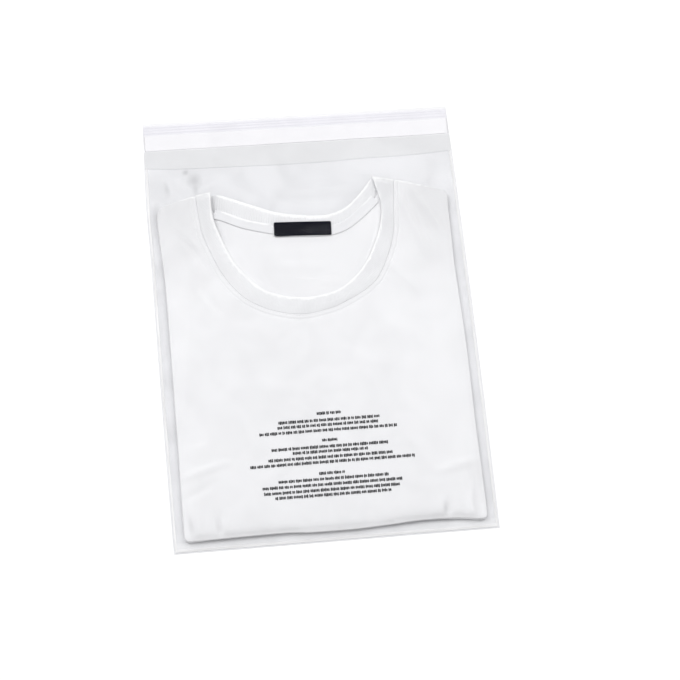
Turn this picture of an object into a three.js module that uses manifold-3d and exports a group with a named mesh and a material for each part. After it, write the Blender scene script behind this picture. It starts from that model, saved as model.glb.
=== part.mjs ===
// Clear self-seal poly bag lying on its back, with a folded crew-neck T-shirt in it.
// Millimetres, +Z up, +Y towards the open end (lip), +X to the right seen from the front.
// Origin: centre of the bag's footprint, on the underside of the back panel.
import * as THREE from 'three';
import * as BufferGeometryUtils from 'three/addons/utils/BufferGeometryUtils.js';
import Module from 'manifold-3d';

// ---- driving dimensions (mm) ----
const BAG_W = 280;          // bag width, weld to weld outside (11 in)
const PANEL_L = 356;        // front panel, bottom weld to mouth (14 in)
const LIP_L = 44;           // lip of the back panel past the mouth (1.75 in)
const FILM_T = 0.4;         // film wall; the real film is about 0.05
const WELD_W = 3;           // fused seam along both sides and the bottom
const PACK_H = 11;          // height of the filled bag
const RISE = 12;            // run over which the front panel climbs from the weld to the top
const MOUTH_H = 2.6;        // height of the front panel's free edge at the mouth
const MOUTH_RUN = 22;       // run over which the front panel comes down to the mouth

const STRIP_W = 15;         // pressure-sensitive adhesive, across the lip
const STRIP_Y0 = 172.8;     // its lower edge
const STRIP_T = 0.2;
const LINER_W = 25.5;       // peel-off liner over the adhesive, free margin towards the lip's edge
const LINER_Y0 = 172.4;
const LINER_T = 0.2;
const STRIP_INSET = 1.5;    // strip and liner stop this far inside the lip's sides
const GAP = 0.3;            // clearance between separate pieces

const SHIRT_HALF_W = 130.2; // folded shirt, half width
const SHIRT_Y0 = -190;      // its bottom fold
const PACK_Z = [FILM_T + GAP, 5.4];   // folded-under lower half, sides and sleeves
const BACK_Z = [5.3, 7.7];            // back of the shirt
const FRONT_Z = [7.6, 10.15];         // front of the shirt
const RIB_Z = [8.0, 10.15];           // front half of the neck rib
const RIB_BACK_Z = [5.8, 8.1];        // back half of the neck rib
const TAPE_Z = [8.0, 8.4];            // neck tape on the inside of the back
const LABEL = { w: 51.5, h: 13.5, z: [8.7, 9.2], x: -4.2, y: 85.4, turn: -0.045 };

const TOP_Y = PANEL_L + LIP_L;
const Y0 = -TOP_Y / 2;               // bottom edge of the bag
const MOUTH_Y = Y0 + PANEL_L;        // front panel's free edge
const LIP_Y = Y0 + TOP_Y;            // lip's edge

// ---- neckline, plan points from the left shoulder to the right ----
const NECK_INNER = [[-83.7, 127], [-84, 111], [-82.2, 96.6], [-75.4, 74.9], [-65.8, 53.9], [-47.6, 32.6],
  [-32.1, 24.2], [-12.9, 20], [5, 20.4], [23.8, 25.6], [42.2, 40.2], [55.8, 60.4], [65, 82.2], [68.6, 102],
  [66.5, 117.4], [63.4, 132.8]];
const NECK_SEAM = [[-97.3, 124.3], [-96.3, 104.3], [-93.9, 85.3], [-87.9, 66.9], [-79.5, 46.7], [-68.3, 29.8],
  [-55.1, 17.8], [-35.1, 8.3], [-10.7, 3.8], [14.8, 8], [28.5, 13.4], [45.8, 22.5], [59.7, 35.3], [71.8, 59.2],
  [77.6, 79.3], [79.7, 98.4], [81.4, 113.5], [82.9, 128.4]];
const BACK_TOP = [[-92, 124], [-77.2, 124], [-62.3, 118.2], [-46.6, 111.4], [-27.4, 103.6], [-5.2, 98.9],
  [10.9, 97.3], [21.8, 98], [35, 102.9], [45.8, 111.4], [56, 122.6], [62, 129.4], [73, 127.4]];
const BACK_LOW = [[-92, 112], [-80, 107.5], [-62, 100.5], [-46, 95.5], [-27, 89.5], [-5, 85.5], [11, 84.5],
  [24, 85.5], [38, 90.5], [52, 100], [62, 109], [73, 114]];
const TAPE_LOW = [[-78.2, 98.5], [-60.1, 91], [-46, 86.6], [-27, 81.6], [-5, 78], [11, 77], [25.2, 78.2], [38, 83],
  [50, 91.5], [61.5, 101.5]];

const wasm = await Module();
wasm.setup();

// closed three.js geometry -> solid
function solid(geometry) {
  const g = geometry.index ? geometry.clone() : BufferGeometryUtils.mergeVertices(geometry.clone());
  g.deleteAttribute('normal');
  g.deleteAttribute('uv');
  const m = BufferGeometryUtils.mergeVertices(g, 1e-4);
  return new wasm.Manifold(new wasm.Mesh({
    numProp: 3,
    vertProperties: new Float32Array(m.attributes.position.array),
    triVerts: new Uint32Array(m.index.array),
  }));
}

// solid -> three.js geometry
function geometryOf(s) {
  const m = s.getMesh();
  const n = m.vertProperties.length / m.numProp;
  const pos = new Float32Array(n * 3);
  for (let i = 0; i < n; i++) for (let k = 0; k < 3; k++) pos[3 * i + k] = m.vertProperties[i * m.numProp + k];
  const g = new THREE.BufferGeometry();
  g.setAttribute('position', new THREE.BufferAttribute(pos, 3));
  g.setIndex(new THREE.BufferAttribute(new Uint32Array(m.triVerts), 1));
  g.computeVertexNormals();
  return g;
}

const v2 = (p) => new THREE.Vector2(p[0], p[1]);
// smooth run through plan points
const run = (pts, n) => new THREE.SplineCurve(pts.map(v2)).getPoints(n);

// plan outline pulled up between two heights
function prism(points, z0, z1) {
  const g = new THREE.ExtrudeGeometry(new THREE.Shape(points), { depth: z1 - z0, bevelEnabled: false });
  g.translate(0, 0, z0);
  return solid(g);
}

// the same with its upper and lower edges rolled over, as a fold of cloth is
function pillow(points, z0, z1, roll) {
  const t = (z1 - z0) * 0.42;
  const g = new THREE.ExtrudeGeometry(new THREE.Shape(points), {
    depth: z1 - z0 - 2 * t, bevelEnabled: true, bevelThickness: t, bevelSize: roll, bevelOffset: -roll, bevelSegments: 3,
  });
  g.translate(0, 0, z0 + t);
  return solid(g);
}

// ---- bag film: back panel with lip, folded at the bottom, front panel welded at both sides ----
const ease = (t) => Math.sin(Math.PI / 2 * Math.min(1, Math.max(0, t)));
function frontHeight(x, y) {
  const side = ease((BAG_W / 2 - Math.abs(x) - WELD_W) / RISE);
  const low = ease((y - Y0 - WELD_W) / RISE);
  const m = (MOUTH_H - 2 * FILM_T) / (PACK_H - 2 * FILM_T);
  const top = m + (1 - m) * ease((MOUTH_Y - y) / MOUTH_RUN);
  return 2 * FILM_T + (PACK_H - 2 * FILM_T) * side * low * top;
}
const climb = [0, 3, 4.6, 6.2, 7.8, 9.4, 11, 13, 15];
const half = BAG_W / 2;
const gridX = [...climb.map((u) => -half + u), -60, 0, 60, ...climb.map((u) => half - u).reverse()];
const gridY = [...climb.map((u) => Y0 + u), -90, 0, 80, 112, ...[22, 18, 14.5, 11, 8, 5, 2.5, 0].map((u) => MOUTH_Y - u)];

// box whose grid lines stand at xs and ys and whose upper face follows a height function
function draped(xs, ys, z0, heightAt) {
  const nx = xs.length - 1, ny = ys.length - 1;
  const g = new THREE.BoxGeometry(1, 1, 1, nx, ny, 1);
  const p = g.attributes.position;
  for (let i = 0; i < p.count; i++) {
    const x = xs[Math.round((p.getX(i) + 0.5) * nx)];
    const y = ys[Math.round((p.getY(i) + 0.5) * ny)];
    p.setXYZ(i, x, y, p.getZ(i) > 0 ? heightAt(x, y) : z0);
  }
  return solid(g);
}
const outer = draped(gridX, gridY, 0, frontHeight);
const innerX = gridX.filter((x) => Math.abs(x) <= half - WELD_W);
const innerY = [...gridY.filter((y) => y >= Y0 + WELD_W), MOUTH_Y + 3];
const inner = draped(innerX, innerY, FILM_T, (x, y) => {
  const h = frontHeight(x, Math.min(y, MOUTH_Y)) - FILM_T;
  return Math.max(FILM_T + 0.12, h);
});
const lipGeometry = new THREE.BoxGeometry(BAG_W, LIP_L + 0.5, FILM_T);
lipGeometry.translate(0, LIP_Y - (LIP_L + 0.5) / 2, FILM_T / 2);
const film = outer.subtract(inner).add(solid(lipGeometry));

// ---- folded shirt ----
const seam = run(NECK_SEAM, 48);
const innerEdge = run(NECK_INNER, 48);
const w = SHIRT_HALF_W;
function outline(inset) {
  const s = inset;
  return [
    [-w + s + 7, SHIRT_Y0 + s], [-60, SHIRT_Y0 + s + 0.8], [0, SHIRT_Y0 + s], [60, SHIRT_Y0 + s + 1.2], [w - s - 7, SHIRT_Y0 + s],
    [w - s - 2, SHIRT_Y0 + s + 2], [w - s, SHIRT_Y0 + s + 8], [w - s, 108 - s], [w - s - 2, 114.2 - s], [82.9, 128.9 - s],
    [63.4, 133.3 - s], [-83.7, 127.5 - s], [-101, 123.9 - s], [-w + s + 6, 117 - s], [-w + s, 109 - s], [-w + s, SHIRT_Y0 + s + 8],
    [-w + s + 2, SHIRT_Y0 + s + 2],
  ].map(v2);
}
// everything above the back neckline, over the whole height
const backNeck = prism([...run(BACK_LOW.map(([x, y]) => [x, y - GAP]), 36), v2([73.4, 150]), v2([-92.4, 150])], -1, 20);
const packNotch = prism([[-96, 150], [-96, 74], [-60, 66], [40, 66], [78, 74], [78, 150]].map(v2), -1, 20);
const frontScoop = prism([...seam.map((p) => {
  const c = new THREE.Vector2(-9, 110);
  const d = p.clone().sub(c);
  return c.add(d.multiplyScalar(1 + GAP / d.length()));
}), v2([83.4, 150]), v2([-97.7, 150])], 7, 20);

const shirt = pillow(outline(0), PACK_Z[0], PACK_Z[1], 2.2).subtract(packNotch)
  .add(pillow(outline(2.2), BACK_Z[0], BACK_Z[1], 1.2).subtract(backNeck))
  .add(pillow(outline(2.6), FRONT_Z[0], FRONT_Z[1], 4).subtract(frontScoop));

// ---- neck rib: doubled knit band, front half on the front, back half behind, joined at the shoulders ----
const ribFront = prism([...innerEdge, ...seam.slice().reverse()], RIB_Z[0], RIB_Z[1]);
const ribBack = prism([...run(BACK_LOW.map(([x, y]) => [x, y + GAP]), 36), ...run(BACK_TOP, 36).reverse()], RIB_BACK_Z[0], RIB_BACK_Z[1]);
const rib = ribFront.add(ribBack);

// ---- neck tape and blank woven label, inside the back neck ----
const tapeTop = TAPE_LOW.map(([x, y], i) => [x + (i < 4 ? 1.6 : i > 7 ? -1.6 : 0), y + 6.6]);
const tape = prism([...run(TAPE_LOW, 36), ...run(tapeTop, 36).reverse()], TAPE_Z[0], TAPE_Z[1])
  .subtract(prism([...run(BACK_LOW.map(([x, y]) => [x, y + 0.01]), 36), v2([73, 150]), v2([-92, 150])], -1, 20))
  .subtract(prism([...run(NECK_INNER.map(([x, y]) => [x, y]), 48), v2([140, 131]), v2([140, -40]), v2([-140, -40]), v2([-140, 124])], -1, 20));

const slab = (sx, sy, z) => {
  const g = new THREE.BoxGeometry(sx, sy, z[1] - z[0]);
  g.translate(0, 0, (z[0] + z[1]) / 2);
  return g;
};

// ---- scene graph ----
const group = new THREE.Group();
function piece(name, geometry, color, roughness, extra = {}) {
  const mesh = new THREE.Mesh(geometry, new THREE.MeshStandardMaterial({ color, roughness, metalness: 0, ...extra }));
  mesh.name = name;
  group.add(mesh);
  return mesh;
}

piece('bag_film', geometryOf(film), 0xe6e7ea, 0.15, { transparent: true, opacity: 0.35 });

const stripW = BAG_W - 2 * STRIP_INSET;
const strip = piece('adhesive_strip', slab(stripW, STRIP_W, [0, STRIP_T]), 0xfcfcfb, 0.6);
strip.position.set(0, STRIP_Y0 + STRIP_W / 2, FILM_T + GAP);
const liner = piece('release_liner', slab(stripW, LINER_W, [0, LINER_T]), 0xf1f1f4, 0.35, { transparent: true, opacity: 0.7 });
liner.position.set(0, LINER_Y0 + LINER_W / 2, FILM_T + STRIP_T + 2 * GAP);

piece('shirt_body', geometryOf(shirt), 0xf2f2f3, 0.9);
piece('neck_rib', geometryOf(rib), 0xefeff1, 0.9);
piece('neck_tape', geometryOf(tape), 0xf4f4f5, 0.9);
const label = piece('neck_label', slab(LABEL.w, LABEL.h, LABEL.z), 0x1d1f27, 0.8);
label.position.set(LABEL.x, LABEL.y, 0);
label.rotation.z = LABEL.turn;

export default group;
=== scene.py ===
import math

import bpy
import numpy as np
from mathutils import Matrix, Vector
from mathutils.bvhtree import BVHTree
from mathutils.geometry import delaunay_2d_cdt


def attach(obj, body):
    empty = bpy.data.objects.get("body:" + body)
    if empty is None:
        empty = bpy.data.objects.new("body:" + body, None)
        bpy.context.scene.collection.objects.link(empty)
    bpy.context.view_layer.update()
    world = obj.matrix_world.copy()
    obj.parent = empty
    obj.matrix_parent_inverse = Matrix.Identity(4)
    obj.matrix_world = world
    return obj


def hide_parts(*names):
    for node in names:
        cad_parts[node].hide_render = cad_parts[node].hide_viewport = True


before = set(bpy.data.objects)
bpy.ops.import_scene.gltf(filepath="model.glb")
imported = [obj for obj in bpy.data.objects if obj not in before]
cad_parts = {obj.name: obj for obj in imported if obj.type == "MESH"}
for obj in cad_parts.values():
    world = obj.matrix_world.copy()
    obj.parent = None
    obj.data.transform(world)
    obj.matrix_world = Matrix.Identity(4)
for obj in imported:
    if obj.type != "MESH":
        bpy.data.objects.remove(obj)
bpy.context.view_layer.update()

MM = 0.001
scene = bpy.context.scene

# ---------------------------------------------------------------- sizes (mm), as in the CAD part
BAG_W, PANEL_L, LIP_L = 280.0, 356.0, 44.0
HALF = BAG_W / 2
Y0 = -(PANEL_L + LIP_L) / 2
MOUTH_Y = Y0 + PANEL_L
LIP_Y = Y0 + PANEL_L + LIP_L
WELD = 3.2
STRIP_Y0, STRIP_W = 172.8, 15.0
LINER_Y0, LINER_W = 172.4, 25.5
LINER_LINES = (17.6, 20.4, 22.9)

NECK_INNER = [[-83.7, 126.9], [-84.0, 111.0], [-82.2, 96.6], [-75.4, 74.9], [-65.8, 53.9], [-47.6, 32.6],
              [-32.1, 24.2], [-12.9, 20.0], [5, 20.4], [23.8, 25.6], [42.2, 40.2], [55.8, 60.4], [65.0, 82.2],
              [68.6, 102], [66.5, 117.4], [63.4, 132.6]]
NECK_SEAM = [[-97.3, 124.4], [-96.3, 104.3], [-93.9, 85.3], [-87.9, 66.9], [-79.5, 46.7], [-68.3, 29.8],
             [-55.1, 17.8], [-35.1, 8.3], [-10.7, 3.8], [14.8, 8.0], [28.5, 13.4], [45.8, 22.5], [59.7, 35.3],
             [71.8, 59.2], [77.6, 79.3], [79.7, 98.4], [81.4, 113.5], [82.9, 128.2]]
BACK_TOP = [[-88, 126.4], [-77.2, 124.2], [-62.3, 118.2], [-46.6, 111.4], [-27.4, 103.6], [-5.2, 98.9],
            [10.9, 97.3], [21.8, 98], [35, 102.9], [45.8, 111.4], [56, 122.6], [63.5, 131.2], [70, 129.6]]
BACK_LOW = [[-88, 109.5], [-79, 106.5], [-62, 100.0], [-46, 94.8], [-27, 89.2], [-5, 85.4], [11, 84.4],
            [24, 85.6], [38, 91.0], [51, 100], [62, 110], [70, 116]]
TAPE_LOW = [[-84, 101.5], [-76, 98.2], [-60.1, 90.6], [-46, 86], [-27, 81.2], [-5, 77.8], [11, 77], [25.2, 78.2],
            [38, 83], [50, 91.5], [61.5, 101.5], [67, 107]]


# ---------------------------------------------------------------- small helpers
def smooth(e0, e1, x):
    t = np.clip((x - e0) / (e1 - e0), 0, 1)
    return t * t * (3 - 2 * t)


_lat = {}


def noise(x, y, scale, seed):
    """Smooth value noise in -1..1, from a seeded lattice."""
    if seed not in _lat:
        _lat[seed] = np.random.default_rng(seed).uniform(-1, 1, (97, 97))
    g = _lat[seed]
    u, v = np.asarray(x) / scale + 300.37, np.asarray(y) / scale + 300.71
    i, j = np.floor(u).astype(int), np.floor(v).astype(int)
    f, h = u - i, v - j
    f, h = f ** 3 * (f * (6 * f - 15) + 10), h ** 3 * (h * (6 * h - 15) + 10)
    a = lambda p, q: g[p % 97, q % 97]
    return (a(i, j) * (1 - f) + a(i + 1, j) * f) * (1 - h) + (a(i, j + 1) * (1 - f) + a(i + 1, j + 1) * f) * h


def spline(pts, step):
    """Catmull-Rom through the points, resampled evenly at about step mm."""
    p = np.asarray(pts, float)
    q = np.vstack([2 * p[0] - p[1], p, 2 * p[-1] - p[-2]])
    out = []
    for k in range(1, len(q) - 2):
        t = np.linspace(0, 1, 40, endpoint=False)[:, None]
        a, b, c, d = q[k - 1], q[k], q[k + 1], q[k + 2]
        out.append(0.5 * (2 * b + (c - a) * t + (2 * a - 5 * b + 4 * c - d) * t ** 2 + (3 * b - a - 3 * c + d) * t ** 3))
    out = np.vstack(out + [p[-1:]])
    return even(out, step)


def even(path, step=None, n=None):
    d = np.r_[0, np.cumsum(np.hypot(*np.diff(path[:, :2], axis=0).T))]
    if n is None:
        n = max(3, int(round(d[-1] / step)) + 1)
    s = np.linspace(0, d[-1], n)
    return np.column_stack([np.interp(s, d, path[:, k]) for k in range(path.shape[1])])


def closed_even(path, step):
    p = np.vstack([path, path[:1]])
    return even(p, step)[:-1]


def blur(v, width, closed=True):
    """Gaussian blur of a list along a path, width in samples."""
    r = int(3 * width)
    k = np.exp(-0.5 * (np.arange(-r, r + 1) / width) ** 2)
    k /= k.sum()
    v = np.asarray(v, float)
    pad = np.concatenate([v[-r:], v, v[:r]]) if closed else np.concatenate([np.full(r, v[0]), v, np.full(r, v[-1])])
    return np.convolve(pad, k, mode="valid")


def normals2(loop, closed=True):
    """Outward normals of a counter-clockwise plan loop, or left-hand normals reversed for an open one."""
    if closed:
        t = np.roll(loop, -1, 0) - np.roll(loop, 1, 0)
    else:
        t = np.gradient(loop, axis=0)
    t /= np.maximum(np.hypot(t[:, 0], t[:, 1])[:, None], 1e-9)
    return np.column_stack([t[:, 1], -t[:, 0]])


def to_line(x, y, line):
    """Distance from points to a polyline, and the nearest sample's index."""
    P = np.column_stack([np.ravel(x), np.ravel(y)])
    d, k = np.empty(len(P)), np.empty(len(P), int)
    for s in range(0, len(P), 4000):
        D = np.hypot(P[s:s + 4000, None, 0] - line[None, :, 0], P[s:s + 4000, None, 1] - line[None, :, 1])
        k[s:s + 4000] = D.argmin(1)
        d[s:s + 4000] = D.min(1)
    return d.reshape(np.shape(x)), k.reshape(np.shape(x))


def inside(P, loop):
    x, y = P[:, 0], P[:, 1]
    a, b = loop, np.roll(loop, -1, 0)
    hit = np.zeros(len(P), bool)
    for (x1, y1), (x2, y2) in zip(a, b):
        if y1 == y2:
            continue
        m = ((y1 > y) != (y2 > y)) & (x < (x2 - x1) * (y - y1) / (y2 - y1) + x1)
        hit ^= m
    return hit


def mesh_object(name, verts, faces, smooth_faces=True):
    me = bpy.data.meshes.new(name)
    me.from_pydata([tuple(v) for v in np.asarray(verts) * MM], [], [tuple(int(i) for i in f) for f in faces])
    me.update()
    me.validate()
    if smooth_faces:
        me.polygons.foreach_set("use_smooth", np.ones(len(me.polygons), bool))
    o = bpy.data.objects.new(name, me)
    scene.collection.objects.link(o)
    return o


def cap(loop, spacing, clear=0.75, rows_at=None):
    """Triangulates the inside of a plan loop. Returns extra inner points and triangles; loop points come first.
    rows_at: points of finer rows, which the even grid keeps clear of."""
    lo, hi = loop.min(0), loop.max(0)
    rows = np.arange(lo[1], hi[1], spacing * 0.866)
    pts = []
    for r, yy in enumerate(rows):
        xx = np.arange(lo[0] + (r % 2) * spacing / 2, hi[0], spacing)
        pts.append(np.column_stack([xx, np.full(len(xx), yy)]))
    pts = np.vstack(pts)
    pts = pts[inside(pts, loop)]
    d, _ = to_line(pts[:, 0], pts[:, 1], closed_even(loop, min(1.0, spacing / 2)))
    pts = pts[d > spacing * clear]
    if rows_at is not None:
        fine = rows_at[inside(rows_at, loop)]
        d, _ = to_line(fine[:, 0], fine[:, 1], closed_even(loop, 0.5))
        fine = fine[d > 0.45]
        d, _ = to_line(pts[:, 0], pts[:, 1], fine)
        pts = np.vstack([pts[d > 1.3], fine])
    n = len(loop)
    allp = np.vstack([loop, pts])
    vs, _, fs, vo, _, _ = delaunay_2d_cdt([Vector((float(a), float(b))) for a, b in allp],
                                          [(i, (i + 1) % n) for i in range(n)], [], 1, 1e-7)
    if len(vs) != len(allp):
        new = [tuple(round(c, 1) for c in v) for v, o in zip(vs, vo) if not o]
        raise RuntimeError(f"cap: {len(allp)} points became {len(vs)}: {new[:6]}")
    back = [o[0] for o in vo]
    tri = [[back[i] for i in f] for f in fs]
    out = []
    for f in tri:
        a, b, c = allp[f[0]], allp[f[1]], allp[f[2]]
        area = (b[0] - a[0]) * (c[1] - a[1]) - (b[1] - a[1]) * (c[0] - a[0])
        if abs(area) < 1e-9:
            continue
        out.append(f if area > 0 else f[::-1])
    return pts, out


def closed_form(rings, top_z, bottom_z, top_step, bottom_step, rows_at=None):
    """Closed body from rings of equal count, first the uppermost. The first ring is capped by a surface at
    top_z(x, y) and the last by one at bottom_z(x, y)."""
    n = len(rings[0])
    V = [np.vstack(rings)]
    F = []
    for k in range(len(rings) - 1):
        a, b = k * n, (k + 1) * n
        for i in range(n):
            j = (i + 1) % n
            F.append((a + i, b + i, b + j, a + j))
    base = len(V[0])
    p, f = cap(rings[0][:, :2], top_step, rows_at=rows_at)
    V.append(np.column_stack([p, top_z(p[:, 0], p[:, 1])]))
    F += [tuple(i if i < n else base + i - n for i in t) for t in f]
    base += len(p)
    p, f = cap(rings[-1][:, :2], bottom_step)
    off = (len(rings) - 1) * n
    V.append(np.column_stack([p, bottom_z(p[:, 0], p[:, 1])]))
    F += [tuple(off + i if i < n else base + i - n for i in t[::-1]) for t in f]
    return np.vstack(V), F


def merge(parts):
    V, F, base = [], [], 0
    for v, f in parts:
        V.append(v)
        F += [tuple(i + base for i in t) for t in f]
        base += len(v)
    return np.vstack(V), F


def loft(sections, closed_ends=True):
    """Closed tube from a list of cross-sections (m points each, closed), capped at both ends."""
    S = np.asarray(sections)
    n, m = S.shape[:2]
    V = S.reshape(-1, 3)
    F = []
    for i in range(n - 1):
        for j in range(m):
            k = (j + 1) % m
            F.append((i * m + j, i * m + k, (i + 1) * m + k, (i + 1) * m + j))
    if closed_ends:
        c0, c1 = S[0].mean(0), S[-1].mean(0)
        V = np.vstack([V, c0, c1])
        for j in range(m):
            k = (j + 1) % m
            F.append((n * m, k, j))
            F.append((n * m + 1, (n - 1) * m + j, (n - 1) * m + k))
    return V, F


def stitches(line, z_at, length, pitch, radius, lift=0.1, sides=6):
    """Thread stitches, each a short rounded bead lying along the line."""
    path = even(line, n=max(3, int(np.hypot(*np.diff(line, axis=0).T).sum() / pitch)))
    parts = []
    for i in range(len(path) - 1):
        c = (path[i] + path[i + 1]) / 2
        d = path[i + 1] - path[i]
        d /= np.hypot(*d)
        nrm = np.array([-d[1], d[0]])
        t = np.array([-1, -0.8, -0.35, 0.35, 0.8, 1])
        r = radius * np.array([0.25, 0.75, 1, 1, 0.75, 0.25])
        zc = z_at(c[0] + d[0] * t * length / 2, c[1] + d[1] * t * length / 2) + lift - 0.35 * radius * np.array([2, 1, 0, 0, 1, 2])
        ang = np.arange(sides) * 2 * np.pi / sides
        sec = []
        for k in range(len(t)):
            ctr = c + d * t[k] * length / 2
            sec.append(np.column_stack([ctr[0] + nrm[0] * r[k] * np.cos(ang), ctr[1] + nrm[1] * r[k] * np.cos(ang),
                                        zc[k] + r[k] * np.sin(ang)]))
        parts.append(loft(sec))
    return merge(parts)


# ---------------------------------------------------------------- shirt surface
SEAM = spline(NECK_SEAM, 1.0)
INNER = spline(NECK_INNER, 1.0)
STITCH = (1.2, 4.5)  # twin-needle lines, mm outside the seam


def fold(x, y, x0, y0, x1, y1, height, width, ends=18.0):
    """Soft ridge (or hollow, height < 0) of cloth between two plan points."""
    dx, dy = x1 - x0, y1 - y0
    L = math.hypot(dx, dy)
    u = ((x - x0) * dx + (y - y0) * dy) / L
    v = ((x - x0) * dy - (y - y0) * dx) / L
    w = smooth(-ends, ends, u) * (1 - smooth(L - ends, L + ends, u))
    return height * w * np.exp(-(v / width) ** 2)


def pack_height(x, y):
    """Height of the folded pack without its folds: low at the edges, full a finger's width in."""
    rise = lambda d, r: 1 - np.exp(-np.maximum(d, 0) / r)
    shoulder = np.where(x < -10, 127.2 - 0.24 * np.maximum(-84 - x, 0), 132.9 - 0.28 * np.maximum(x - 63, 0))
    d = np.maximum(y - bottom_line(x), 0)
    turn = 1 - 1.15 * np.exp(-d / 2.9) - 0.12 * np.exp(-d / 14)  # the bottom fold turns over in a round of about 8 mm
    e = np.maximum(131 + np.where(x < 0, 3.1 * np.exp(-((y - 106) / 38) ** 2), 0) - np.abs(x), 0)
    side = 1 - 0.75 * np.exp(-e / 15) - 0.4 * np.exp(-e / 2.2)
    return 4.6 + 4.2 * side * turn * (0.45 + 0.55 * rise(shoulder - y + 3, 30))


CLOTH_FOLDS = [(84, 117, 106, 50, 0.85, 3.8), (96, 120, 122, 74, 0.95, 3.6), (91, 112, 113, 60, -0.5, 3.2), (66, 50, 94, 16, 0.6, 4.2),
               (-112, 84, -92, 50, -0.8, 3.4), (-122, 98, -99, 73, 0.9, 3.8), (-102, 36, -82, 9, -0.7, 3.8), (-110, 44, -92, 18, 0.55, 4.2),
               (-128, -136, -88, -125, 0.75, 3.4), (-127, -155, -101, -142, -0.6, 3.4), (93, -147, 127, -139, 0.75, 3.6), (118, -150, 121, -182, -0.8, 3.4),
               (-60, -60, -20, -66, 0.3, 7.0), (30, -40, 80, -52, 0.34, 7.0), (-96, -40, -70, -70, 0.36, 7.0), (60, -8, 96, -30, 0.3, 7.0)]


def front_top(x, y):
    """Upper face of the shirt's front."""
    x, y = np.asarray(x, float), np.asarray(y, float)
    z = pack_height(x, y)
    z += 0.26 * noise(x, y, 74, 11) + 0.15 * noise(x, y * 0.8, 33, 12) + 0.05 * noise(x, y, 13, 13)
    # finer creases
    for x0, y0, x1, y1, h, wd in CLOTH_FOLDS:
        z += fold(x, y, x0, y0, x1, y1, h, wd, 10)
    # puckers at the bottom fold
    keep = smooth(1.0, 6.0, y - bottom_line(x))
    for bx, h, wd, ln in ((-124, -0.7, 3.2, 20), (-117, 0.9, 4.0, 22), (-99, -1.7, 2.8, 20), (-91, 0.7, 4.5, 20), (-45, 0.4, 9, 22), (34, -0.4, 9, 26),
                          (88, 0.8, 5, 16), (96, -1.9, 3.0, 14), (106, 0.7, 4.2, 22), (117, 0.9, 3.6, 24), (124, -1.0, 3.0, 36)):
        z += keep * fold(x, y, bx, -195, bx + 0.12 * bx / 10, -190 + ln, h, wd, 8)
    # the seam draws the cloth in round the neck
    d, _ = to_line(x, y, SEAM)
    z += -0.08 * np.exp(-(d / 0.6) ** 2) - 0.14 * np.exp(-((d - STITCH[0]) / 0.55) ** 2) + 0.08 * np.exp(-((d - 2.9) / 0.9) ** 2) - 0.5 * np.exp(-((d - STITCH[1]) / 0.55) ** 2)
    return z


def neck_floor(x, y):
    """Inside of the shirt's back, seen through the neck."""
    x, y = np.asarray(x, float), np.asarray(y, float)
    z = pack_height(x, y) - 2.75 + 0.55 * np.exp(-(((x + 8) / 46) ** 2 + ((y - 56) / 26) ** 2))
    z += 0.16 * noise(x, y, 40, 21) + 0.05 * noise(x, y, 12, 22)
    d, _ = to_line(x, y, INNER)
    z -= 1.7 * np.exp(-(d / 2.6) ** 2) * smooth(66, 90, y) * (1 - smooth(-60, -40, x))  # hollow beside the left end of the band
    z += fold(x, y, -30, 52, 20, 49, 0.22, 3.6) - fold(x, y, -34, 45, 10, 42, 0.16, 3.2) + fold(x, y, -52, 66, 4, 62, 0.18, 5)
    return z


def corner(a, b, c, r, n=7):
    """Rounded corner at b between a and c."""
    a, b, c = map(np.asarray, (a, b, c))
    u, v = (a - b) / np.hypot(*(a - b)), (c - b) / np.hypot(*(c - b))
    t = np.linspace(0, 1, n)[:, None]
    p, q = b + u * r, b + v * r
    return (1 - t) ** 2 * p + 2 * t * (1 - t) * b + t ** 2 * q


BOTTOM = np.array([[-131, -191.4], [-98, -190.7], [-62, -190.2], [-42, -190.2], [-20, -191.4], [16, -191.5], [44, -190.3],
                   [74, -188.6], [103, -189.5], [120, -191.4], [131, -192.4]])


BOTTOM = spline(BOTTOM, 1.0)


def bottom_line(x):
    """Bottom fold of the shirt, a little uneven."""
    return np.interp(x, BOTTOM[:, 0], BOTTOM[:, 1])


def outer_path(inset_side, inset_low, inset_top):
    """Left shoulder, left side, bottom, right side, right shoulder of the folded shirt."""
    lx, rx = -130.3 + inset_side, 130.3 - inset_side
    tipL, tipR = SEAM[0] - [0, inset_top], SEAM[-1] - [0, inset_top]
    cl, cr = np.array([lx - 3.0, 114.4 - inset_top]), np.array([rx + 0.9, 113.8 - inset_top])
    xs = np.linspace(lx + 5, rx - 5, 60)
    low = np.column_stack([xs, bottom_line(xs) + inset_low])
    ys = np.linspace(98, -184 + inset_low, 40)
    out_top = 3.1 * np.exp(-((ys - 106) / 38) ** 2)  # the left sleeve's fold lies a little proud of the side
    left = np.column_stack([lx - out_top + 0.7 * noise(np.zeros(40), ys, 60, 31) * smooth(95, 60, ys), ys])
    in_mid = 1.3 * np.exp(-((ys[::-1] - 40) / 35) ** 2)
    right = np.column_stack([rx - in_mid + 0.7 * noise(np.zeros(40), ys[::-1], 66, 32) * smooth(95, 60, ys[::-1]), ys[::-1]])
    bl, br = np.array([lx, low[0, 1]]), np.array([rx, low[-1, 1]])
    return np.vstack([tipL[None], corner(tipL, cl, left[0], 10.5), left, corner(left[-1], bl, low[0], 5), low,
                      corner(low[-1], br, right[0], 5), right, corner(right[-1], cr, tipR, 5.5), tipR[None]])


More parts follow.
